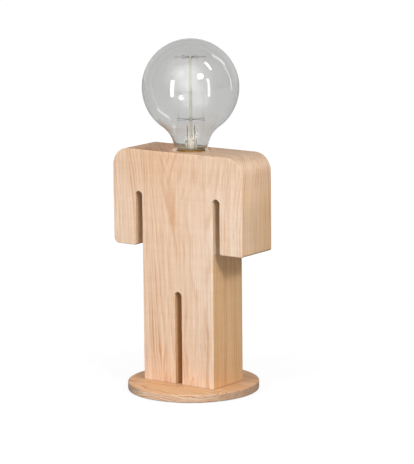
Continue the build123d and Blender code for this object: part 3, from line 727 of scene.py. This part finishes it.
def bulb_outline(bm, settings, inset):
    """Draws the bulb's outline, or one inside it by the inset, from the top down to the throat's end."""
    low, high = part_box("globe_glass")
    globe = high.x
    centre = (0, high.z - globe)
    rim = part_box("cap_shell")[1].z
    throat_out = settings.throat + settings.throat_round
    shoulder = (throat_out, rim + settings.neck_gap + settings.neck_shoulder)
    throat = (throat_out, rim + settings.neck_gap - settings.throat_round)
    to_globe = globe + settings.neck_sweep
    to_shoulder = settings.neck_shoulder + settings.neck_sweep
    drop = shoulder[1] - centre[1]
    span = math.hypot(shoulder[0], drop)
    along = (to_globe ** 2 - to_shoulder ** 2 + span ** 2) / (2 * span)
    aside = math.sqrt(to_globe ** 2 - along ** 2)
    hollow = (
        (along * shoulder[0] - aside * drop) / span, centre[1] + (along * drop + aside * shoulder[0]) / span
    )
    globe_end = heading(centre, hollow)
    hollow_end = heading(hollow, shoulder)
    top = bm.verts.new((0, 0, centre[1] + globe - inset))
    end = arc_about(bm, top, centre, globe_end - math.pi / 2, GLOBE_ARC_STEPS)
    sweep = (hollow_end - globe_end - math.pi) % math.tau
    end = arc_about(bm, end, hollow, sweep, GLOBE_ARC_STEPS // 3)
    sweep = -((hollow_end - math.pi / 2) % math.tau)
    end = arc_about(bm, end, shoulder, sweep, GLOBE_ARC_STEPS // 6)
    end = arc_about(bm, end, throat, math.pi / 2, GLOBE_ARC_STEPS // 8)
    return line_to(bm, end, (settings.throat - inset, low.z))


def place_filament(material, settings):
    """Makes the zigzag wire that hangs between the two spreads of supports, from lead to lead."""
    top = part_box("filament")[1].z
    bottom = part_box("lower_supports")[1].z
    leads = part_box("lead_wires")[1].z
    reach = settings.filament_reach
    ends = settings.filament_ends / 2
    stops = 2 * settings.hooks - 1
    turns = [math.tau * (0.25 + (index + 1) / (stops + 1)) for index in range(stops)]
    bends = [
        Vector((reach * math.cos(turn), reach * math.sin(turn), bottom if index % 2 else top))
        for index, turn in enumerate(turns)
    ]
    first, last = (Vector((side, settings.filament_set, leads)) for side in (-ends, ends))
    path = [first, *bends, last]
    data = bpy.data.curves.new("filament_wire", "CURVE")
    data.dimensions = "3D"
    data.bevel_depth = settings.filament / 2
    data.bevel_resolution = 1
    data.use_fill_caps = True
    spline = data.splines.new("POLY")
    spline.points.add(len(path) - 1)
    swing = Matrix.Rotation(settings.mount_turn, 3, "Z")
    for point, spot in zip(spline.points, path):
        point.co = (*(swing @ spot), 1)
    data.materials.append(material)
    stand_in(add_object("filament_wire", data), "filament", "bulb")


class FIGURELAMP_OT_wooden_figure(bpy.types.Operator):
    """Finish the wooden figure: one block whose grain runs upright, with end grain at the top"""

    bl_idname = "figure_lamp.wooden_figure"
    bl_label = "Wooden figure"

    def execute(self, context):
        upright = Board(
            turn=(0, 0, 0), heart=(14.0, -95.0), lean=(-0.12, 0.0), foot=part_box("figure_block")[0].z / MM,
            taper=(0.008, 0.0007), first_ring=0.67, core=(165.0, 204.0),
            arches=((-16.0, 5.0, 6.5, 40.0, 6.0), (19.0, 5.0, 5.0, 22.0, 3.0)),
            slots=((46.5, 4.0, 143.5, 197.5), (0.0, 4.0, 9.0, 101.5)),
        )
        dress(wood_finish("figure wood", upright), "figure_block")
        return {"FINISHED"}


class FIGURELAMP_OT_base(bpy.types.Operator):
    """Finish the base disc, whose grain lies across, its screws and the felt under it"""

    bl_idname = "figure_lamp.base"
    bl_label = "Base"

    def execute(self, context):
        lying = Board(
            turn=(0, math.radians(-90), 0), heart=(-40.0, -45.0), lean=(0.05, -0.13),
            foot=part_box("base_disc")[0].z / MM, level=0.95, contrast=1.3, side_shade_strength=0.70, ends=0.55,
        )
        dress(wood_finish("base wood", lying), "base_disc")
        steel = metal_finish("zinc plated steel", (0.56, 0.55, 0.53), 0.32)
        dress(steel, "base_screws", "holder_screws", "terminal_screws")
        self.make_felt(context.scene.figure_lamp.felt)
        return {"FINISHED"}

    def make_felt(self, settings):
        """A disc cut from felt: soft edges, frayed a little, and an uneven underside."""
        low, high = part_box("base_felt")
        radius = high.x
        edge = settings.edge
        bm = bmesh.new()
        end = line_to(bm, bm.verts.new((0, 0, high.z)), (radius - edge, high.z))
        end = arc_about(bm, end, (radius - edge, high.z - edge), math.radians(-90), EDGE_STEPS)
        end = line_to(bm, end, (radius, low.z + edge))
        end = arc_about(bm, end, (radius - edge, low.z + edge), math.radians(-90), EDGE_STEPS)
        line_to(bm, end, (0, low.z))
        divide_runs(bm, FELT_RUN)
        turn_outline(bm, FELT_STEPS)
        for vert in bm.verts:
            spot = vert.co / MM
            if vert.co.xy.length > radius - 2 * edge:
                frayed = noise.noise(settings.fray_scale * spot) - 0.5
                vert.co.xy *= 1 + settings.fray * frayed / radius
            if vert.co.z < low.z + edge / 2:
                vert.co.z += settings.lumps * (0.5 + 0.5 * noise.noise(settings.lump_scale * spot))
        smooth(bm, 60)
        felt = stand_in(add_mesh(bm, "felt_disc", felt_finish()), "base_felt", "lamp")


class FIGURELAMP_OT_cord_inlet(bpy.types.Operator):
    """Finish the bushing at the back where the cord goes in"""

    bl_idname = "figure_lamp.cord_inlet"
    bl_label = "Cord inlet"

    def execute(self, context):
        dress(plastic_finish(), "cord_bushing")
        return {"FINISHED"}


class FIGURELAMP_OT_lampholder(bpy.types.Operator):
    """Finish the lampholder: porcelain cup, brass contacts and terminals"""

    bl_idname = "figure_lamp.lampholder"
    bl_label = "Lampholder"

    def execute(self, context):
        dress(porcelain_finish(), "holder_body")
        brass = metal_finish("stamped brass", (0.78, 0.57, 0.25), 0.3)
        dress(brass, "contact_foot", "contact_tongue", "contact_rivets", "terminal_blocks")
        self.make_shell(brass, context.scene.figure_lamp.bulb, context.scene.figure_lamp.holder)
        return {"FINISHED"}

    def make_shell(self, brass, bulb, settings):
        """The screw shell, whose thread runs along the cap's own, with the tab that its rivet holds."""
        low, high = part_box("screw_shell")
        inner = bulb.crest + bulb.thread_gap
        bm = bmesh.new()
        line_to(bm, bm.verts.new((inner, 0, low.z)), (inner, high.z))
        divide_runs(bm, bulb.pitch / PITCH_PARTS)
        turn_outline(bm, TURN_STEPS)
        roll_thread(bm, bulb, inner, high.z - settings.shell_plain, low.z + settings.shell_plain)
        give_wall(bm, settings.shell_wall, outwards=True)
        self.add_tab(bm, settings, inner, low.z)
        smooth(bm, 40)
        stand_in(add_mesh(bm, "threaded_shell", brass), "screw_shell", "lamp")

    def add_tab(self, bm, settings, reach, floor):
        """Draws the tab's outline and its rivet's hole, fills between them and gives the metal its wall."""
        half = settings.tab_width / 2
        corner = bm.verts.new((settings.tab_start, -half, floor))
        swing = math.asin(half / reach)
        root = bm.verts.new((reach * math.cos(swing), -half, floor))
        last = arc_from(bm, root, (0, 0, floor), (0, 0, 1), 2 * swing, ROOT_STEPS)
        other = bm.verts.new((settings.tab_start, half, floor))
        for pair in ((root, corner), (corner, other), (other, last)):
            bm.edges.new(pair)
        hole = Matrix.Translation((settings.rivet_place, 0, floor))
        bmesh.ops.create_circle(bm, segments=HOLE_STEPS, radius=settings.rivet_hole, matrix=hole)
        wires = [edge for edge in bm.edges if edge.is_wire]
        filled = bmesh.ops.triangle_fill(bm, edges=wires, use_beauty=True, normal=(0, 0, -1))
        plate = [g for g in filled["geom"] if isinstance(g, bmesh.types.BMFace)]
        bmesh.ops.solidify(bm, geom=plate, thickness=settings.shell_wall)


class FIGURELAMP_OT_bulb_cap(bpy.types.Operator):
    """Make the bulb's cap with its rolled thread, and finish its cement, insulator and tip"""

    bl_idname = "figure_lamp.bulb_cap"
    bl_label = "Bulb cap"

    def execute(self, context):
        settings = context.scene.figure_lamp.bulb
        self.make_shell(settings)
        self.make_insulator(settings)
        dress(cement_finish(), "cap_cement")
        dress(metal_finish("solder", (0.60, 0.60, 0.60), 0.38), "cap_tip")
        return {"FINISHED"}

    def make_shell(self, settings):
        """Sheet brass with a flared rim, a rolled thread and an end turned in over the insulator."""
        low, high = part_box("cap_shell")
        crest = settings.crest
        taper = settings.cap_taper
        bm = bmesh.new()
        rim = bm.verts.new((high.x, 0, high.z))
        line_to(bm, rim, (crest, high.z - settings.cap_rim), (crest, low.z + taper), (crest - taper, low.z))
        divide_runs(bm, settings.pitch / PITCH_PARTS)
        turn_outline(bm, TURN_STEPS)
        roll_thread(bm, settings, crest, high.z - settings.thread_start, low.z - settings.pitch)
        give_wall(bm, settings.cap_wall, outwards=False)
        smooth(bm, 40)
        brass = metal_finish("rolled brass", (0.60, 0.42, 0.17), 0.3, brushed=(0.3, 0.3, 3))
        stand_in(add_mesh(bm, "threaded_cap", brass), "cap_shell", "bulb")

    def make_insulator(self, settings):
        """Black glass that fills the cap's end inside the thread's roots and carries the tip."""
        low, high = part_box("cap_insulator")
        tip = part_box("cap_tip")[1].x
        square = settings.cap_wall * math.sin(math.radians(45))
        edge = settings.crest - settings.cap_taper - square - settings.cap_fit
        edge_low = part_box("cap_shell")[0].z + square
        seat = settings.crest - settings.thread_depth - settings.cap_wall - settings.cap_fit
        bm = bmesh.new()
        first = bm.verts.new((settings.lead_hole, 0, high.z))
        last = line_to(
            bm, first, (seat, high.z), (seat, edge_low + seat - edge), (edge, edge_low), (tip, low.z),
            (settings.lead_hole, low.z),
        )
        bm.edges.new((last, first))
        divide_runs(bm, INSULATOR_RUN)
        turn_outline(bm, TURN_STEPS)
        smooth(bm, 35)
        piece = add_mesh(bm, "cap_insulator_glass", insulator_finish())
        stand_in(piece, "cap_insulator", "bulb")


class FIGURELAMP_OT_bulb_glass(bpy.types.Operator):
    """Make the bulb's glass: globe, neck and throat in one blown wall"""

    bl_idname = "figure_lamp.bulb_glass"
    bl_label = "Bulb glass"

    def execute(self, context):
        settings = context.scene.figure_lamp.bulb
        bm = bmesh.new()
        bm.edges.new([bulb_outline(bm, settings, inset) for inset in (0, settings.wall)])
        turn_outline(bm, GLASS_STEPS)
        smooth(bm, 50)
        glass = glass_finish("clear glass", settings.glass, 1.5, 0.03, 0.012)
        piece = stand_in(add_mesh(bm, "bulb_glass", glass), "globe_glass", "bulb")
        piece.visible_shadow = False
        return {"FINISHED"}


class FIGURELAMP_OT_bulb_mount(bpy.types.Operator):
    """Finish what stands in the bulb: stem, rod, supports, leads and filament"""

    bl_idname = "figure_lamp.bulb_mount"
    bl_label = "Bulb mount"

    def execute(self, context):
        settings = context.scene.figure_lamp.bulb
        dress(glass_finish("stem glass", settings.stem, 1.26, 0.7, 1.0, clear=0.91), "stem_glass")
        dress(glass_finish("rod glass", settings.rod, 1.5, 0.2, 0.3), "support_rod")
        wire = metal_finish("drawn wire", (0.11, 0.10, 0.09), 0.4)
        dress(wire, "upper_supports", "lower_supports", "lead_wires")
        carbon = metal_finish("carbonised wire", (0.30, 0.28, 0.27), 0.5)
        place_filament(carbon, settings)
        for name in ("stem_glass", "support_rod"):
            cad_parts[name].visible_shadow = False
        return {"FINISHED"}


# Stage

# Heights on the lamp's axis that the lamps aim at
BODY = 0.24
GLOBE = 0.30
# Where a lamp's light shows: on matt surfaces, in shiny ones, or to rays that leave glass
MATT = ("diffuse",)
SHINY = ("glossy",)
GLASS = ("transmission",)
# Name, shape, azimuth and elevation in degrees, distance, aim, width, height, power and where it shows
LAMPS = (
    ("front_strip", "RECTANGLE", -7, 13, 1.6, BODY, 0.16, 0.85, 10.4, MATT),
    ("front_card", "RECTANGLE", -7, 2.5, 0.9, GLOBE, 0.15, 0.58, 4.2, SHINY),
    ("side_strip", "RECTANGLE", 79, 13, 1.6, BODY, 0.14, 0.85, 1.1, MATT),
    ("side_card", "RECTANGLE", 79, 4.5, 0.9, GLOBE, 0.10, 0.64, 1.9, SHINY),
    ("round_lamp", "DISK", 62, 31, 1.6, BODY, 0.30, 0.30, 11.0, MATT),
    ("round_card", "DISK", 63, 33, 1.5, BODY, 0.35, 0.35, 6.4, SHINY + GLASS),
    ("umbrella", "DISK", -2, 42, 1.7, BODY, 0.90, 0.90, 3.0, MATT + GLASS),
    ("long_lamp", "RECTANGLE", 101, 49, 1.7, BODY, 0.12, 0.75, 2.5, MATT),
    ("long_card", "RECTANGLE", 101, 50, 1.6, BODY, 0.18, 0.55, 4.0, SHINY),
    ("back_strip", "RECTANGLE", 148, 12, 1.7, BODY, 0.08, 1.10, 0.8, MATT + SHINY + GLASS),
    ("glint_card", "RECTANGLE", 156, 38, 1.6, GLOBE, 0.20, 0.70, 2.5, GLASS),
)


def add_lamp(name, shape, azimuth, elevation, distance, aim, width, height, power, shows):
    """A soft lamp at an angle round the lamp, aimed at a height on its axis."""
    data = bpy.data.lights.new(name, "AREA")
    data.shape = shape
    data.size = width
    data.size_y = height
    data.energy = power
    back = direction(math.radians(azimuth), math.radians(elevation))
    lamp = add_object(name, data)
    lamp.location = Vector((0, 0, aim)) + back * distance
    lamp.rotation_euler = back.to_track_quat("Z", "Y").to_euler()
    lamp.visible_camera = False
    for kind in MATT + SHINY + GLASS:
        setattr(lamp, "visible_" + kind, kind in shows)


def direction(azimuth, elevation):
    """Unit vector from the lamp to a place round it; azimuth 0 is in front."""
    level = math.cos(elevation)
    return Vector((math.sin(azimuth) * level, -math.cos(azimuth) * level, math.sin(elevation)))


def add_camera(settings):
    """The camera, at its angle and distance, aimed a little aside of the lamp's axis."""
    back = direction(settings.azimuth, settings.elevation)
    right = Vector((math.cos(settings.azimuth), math.sin(settings.azimuth), 0))
    up = back.cross(right)
    target = Vector((0, 0, settings.target))
    eye = target + back * settings.distance
    gaze = (eye - target - right * settings.aside - up * settings.above).normalized()
    side = up.cross(gaze).normalized()
    turn = Matrix((side, gaze.cross(side), gaze)).transposed() @ Matrix.Rotation(settings.roll, 3, "Z")
    data = bpy.data.cameras.new("camera")
    data.lens = settings.focal
    data.clip_end = 50
    camera = add_object("camera", data)
    camera.matrix_world = Matrix.Translation(eye) @ turn.to_4x4()
    bpy.context.scene.camera = camera


def towards(room, goal):
    """How nearly a ray that leaves the lamp points at a goal, 1 where it points straight at it."""
    ray = room.node("TexCoord", {}, {}, out="Generated")
    return room.node("VectorMath", {"operation": "DOT_PRODUCT"}, {0: ray, 1: tuple(goal)}, out="Value")


def set_world(settings):
    """White for the camera, soft light for matt surfaces, and for shiny ones and glass a room with light
    walls before and behind the lamp, dark sides, a pale band and a soft window."""
    world = bpy.data.worlds.new("studio")
    world.use_nodes = True
    bpy.context.scene.world = world
    room = Finish.of_world(world)
    seen = room.ray("Camera")
    through = room.ray("Transmission")
    mirrored = room.ray("Glossy")
    ahead = towards(room, direction(settings.azimuth, settings.elevation))
    window = towards(room, direction(settings.window_azimuth, settings.window_elevation))
    walls = 0.7 * ahead.rise(-0.3, -0.8) + 0.7 * ahead.rise(0.0, 1.0)
    band = 0.5 * ahead.rise(-0.42, -0.36) * ahead.rise(-0.28, -0.34)
    glow = 0.66 * window.rise(0.35, 0.9) + 1.02 * window.rise(0.8, 0.98)
    shine = walls + glow * (1.0 + 2.5 * through) + band
    shine = shine.math("MAXIMUM", 0.6 * through)
    soft = settings.surroundings + mirrored * (shine - settings.surroundings)
    room.feed("Strength", soft + seen * (1.0 - soft))
    room.feed("Color", (1, 1, 1))


def floor_finish():
    """White paper that stays white to the camera and keeps the lamp's shadow."""
    finish = Finish("white paper", Base_Color=(0.4, 0.4, 0.4), Roughness=0.9, Specular_IOR_Level=0.0)
    seen = finish.ray("Camera")
    through = finish.ray("Transmission")
    away = finish.node("VectorMath", {"operation": "LENGTH"}, {0: finish.place(scale=1.0)}, out="Value")
    away = away.rise(0.1, 0.5)
    share = seen.math("MAXIMUM", through) * (0.68 + 0.32 * away)
    glow = finish.node("Emission", {}, {"Color": finish.lit((1, 1, 1), 1.32 - 0.29 * away)})
    mixed = finish.node("MixShader", {}, {0: share, 1: Level(finish, finish.shader.outputs[0]), 2: glow})
    output = next(n for n in finish.tree.nodes if n.type == "OUTPUT_MATERIAL")
    finish.connect(output.inputs["Surface"], mixed)
    return finish.material


def add_floor(radius):
    """A round paper floor under the lamp."""
    bm = bmesh.new()
    bmesh.ops.create_circle(bm, cap_ends=True, segments=TURN_STEPS, radius=radius)
    add_mesh(bm, "floor", floor_finish())


class FIGURELAMP_OT_stage(bpy.types.Operator):
    """Set the camera, the soft lamps, the white surroundings and the floor"""

    bl_idname = "figure_lamp.stage"
    bl_label = "Stage"

    def execute(self, context):
        settings = context.scene.figure_lamp.stage
        context.scene.view_settings.view_transform = "Standard"
        add_camera(settings)
        set_world(settings)
        for lamp in LAMPS:
            add_lamp(*lamp)
        add_floor(settings.floor)
        return {"FINISHED"}


class FIGURELAMP_PT_panel(bpy.types.Panel):
    """Lists the lamp's steps and settings"""

    bl_idname = "FIGURELAMP_PT_panel"
    bl_label = "Figure lamp"
    bl_space_type = "VIEW_3D"
    bl_region_type = "UI"
    bl_category = "Figure lamp"

    def draw(self, context):
        for step in STEPS:
            self.layout.operator(step.bl_idname)
        for part in LampSettings.__annotations__:
            settings = getattr(context.scene.figure_lamp, part)
            box = self.layout.box()
            for key in settings.__annotations__:
                box.prop(settings, key)


STEPS = (
    FIGURELAMP_OT_wooden_figure,
    FIGURELAMP_OT_base,
    FIGURELAMP_OT_cord_inlet,
    FIGURELAMP_OT_lampholder,
    FIGURELAMP_OT_bulb_cap,
    FIGURELAMP_OT_bulb_glass,
    FIGURELAMP_OT_bulb_mount,
    FIGURELAMP_OT_stage,
)
SETTINGS = (WoodSettings, BulbSettings, HolderSettings, FeltSettings, StageSettings, LampSettings)
CLASSES = (*SETTINGS, *STEPS, FIGURELAMP_PT_panel)


def register():
    for cls in CLASSES:
        bpy.utils.register_class(cls)
    bpy.types.Scene.figure_lamp = bpy.props.PointerProperty(type=LampSettings)


def unregister():
    del bpy.types.Scene.figure_lamp
    for cls in reversed(CLASSES):
        bpy.utils.unregister_class(cls)


def main():
    """Makes the lamp and its stage step by step."""
    register()
    for step in STEPS:
        family, name = step.bl_idname.split(".")
        getattr(getattr(bpy.ops, family), name)()


if __name__ == "__main__":
    main()
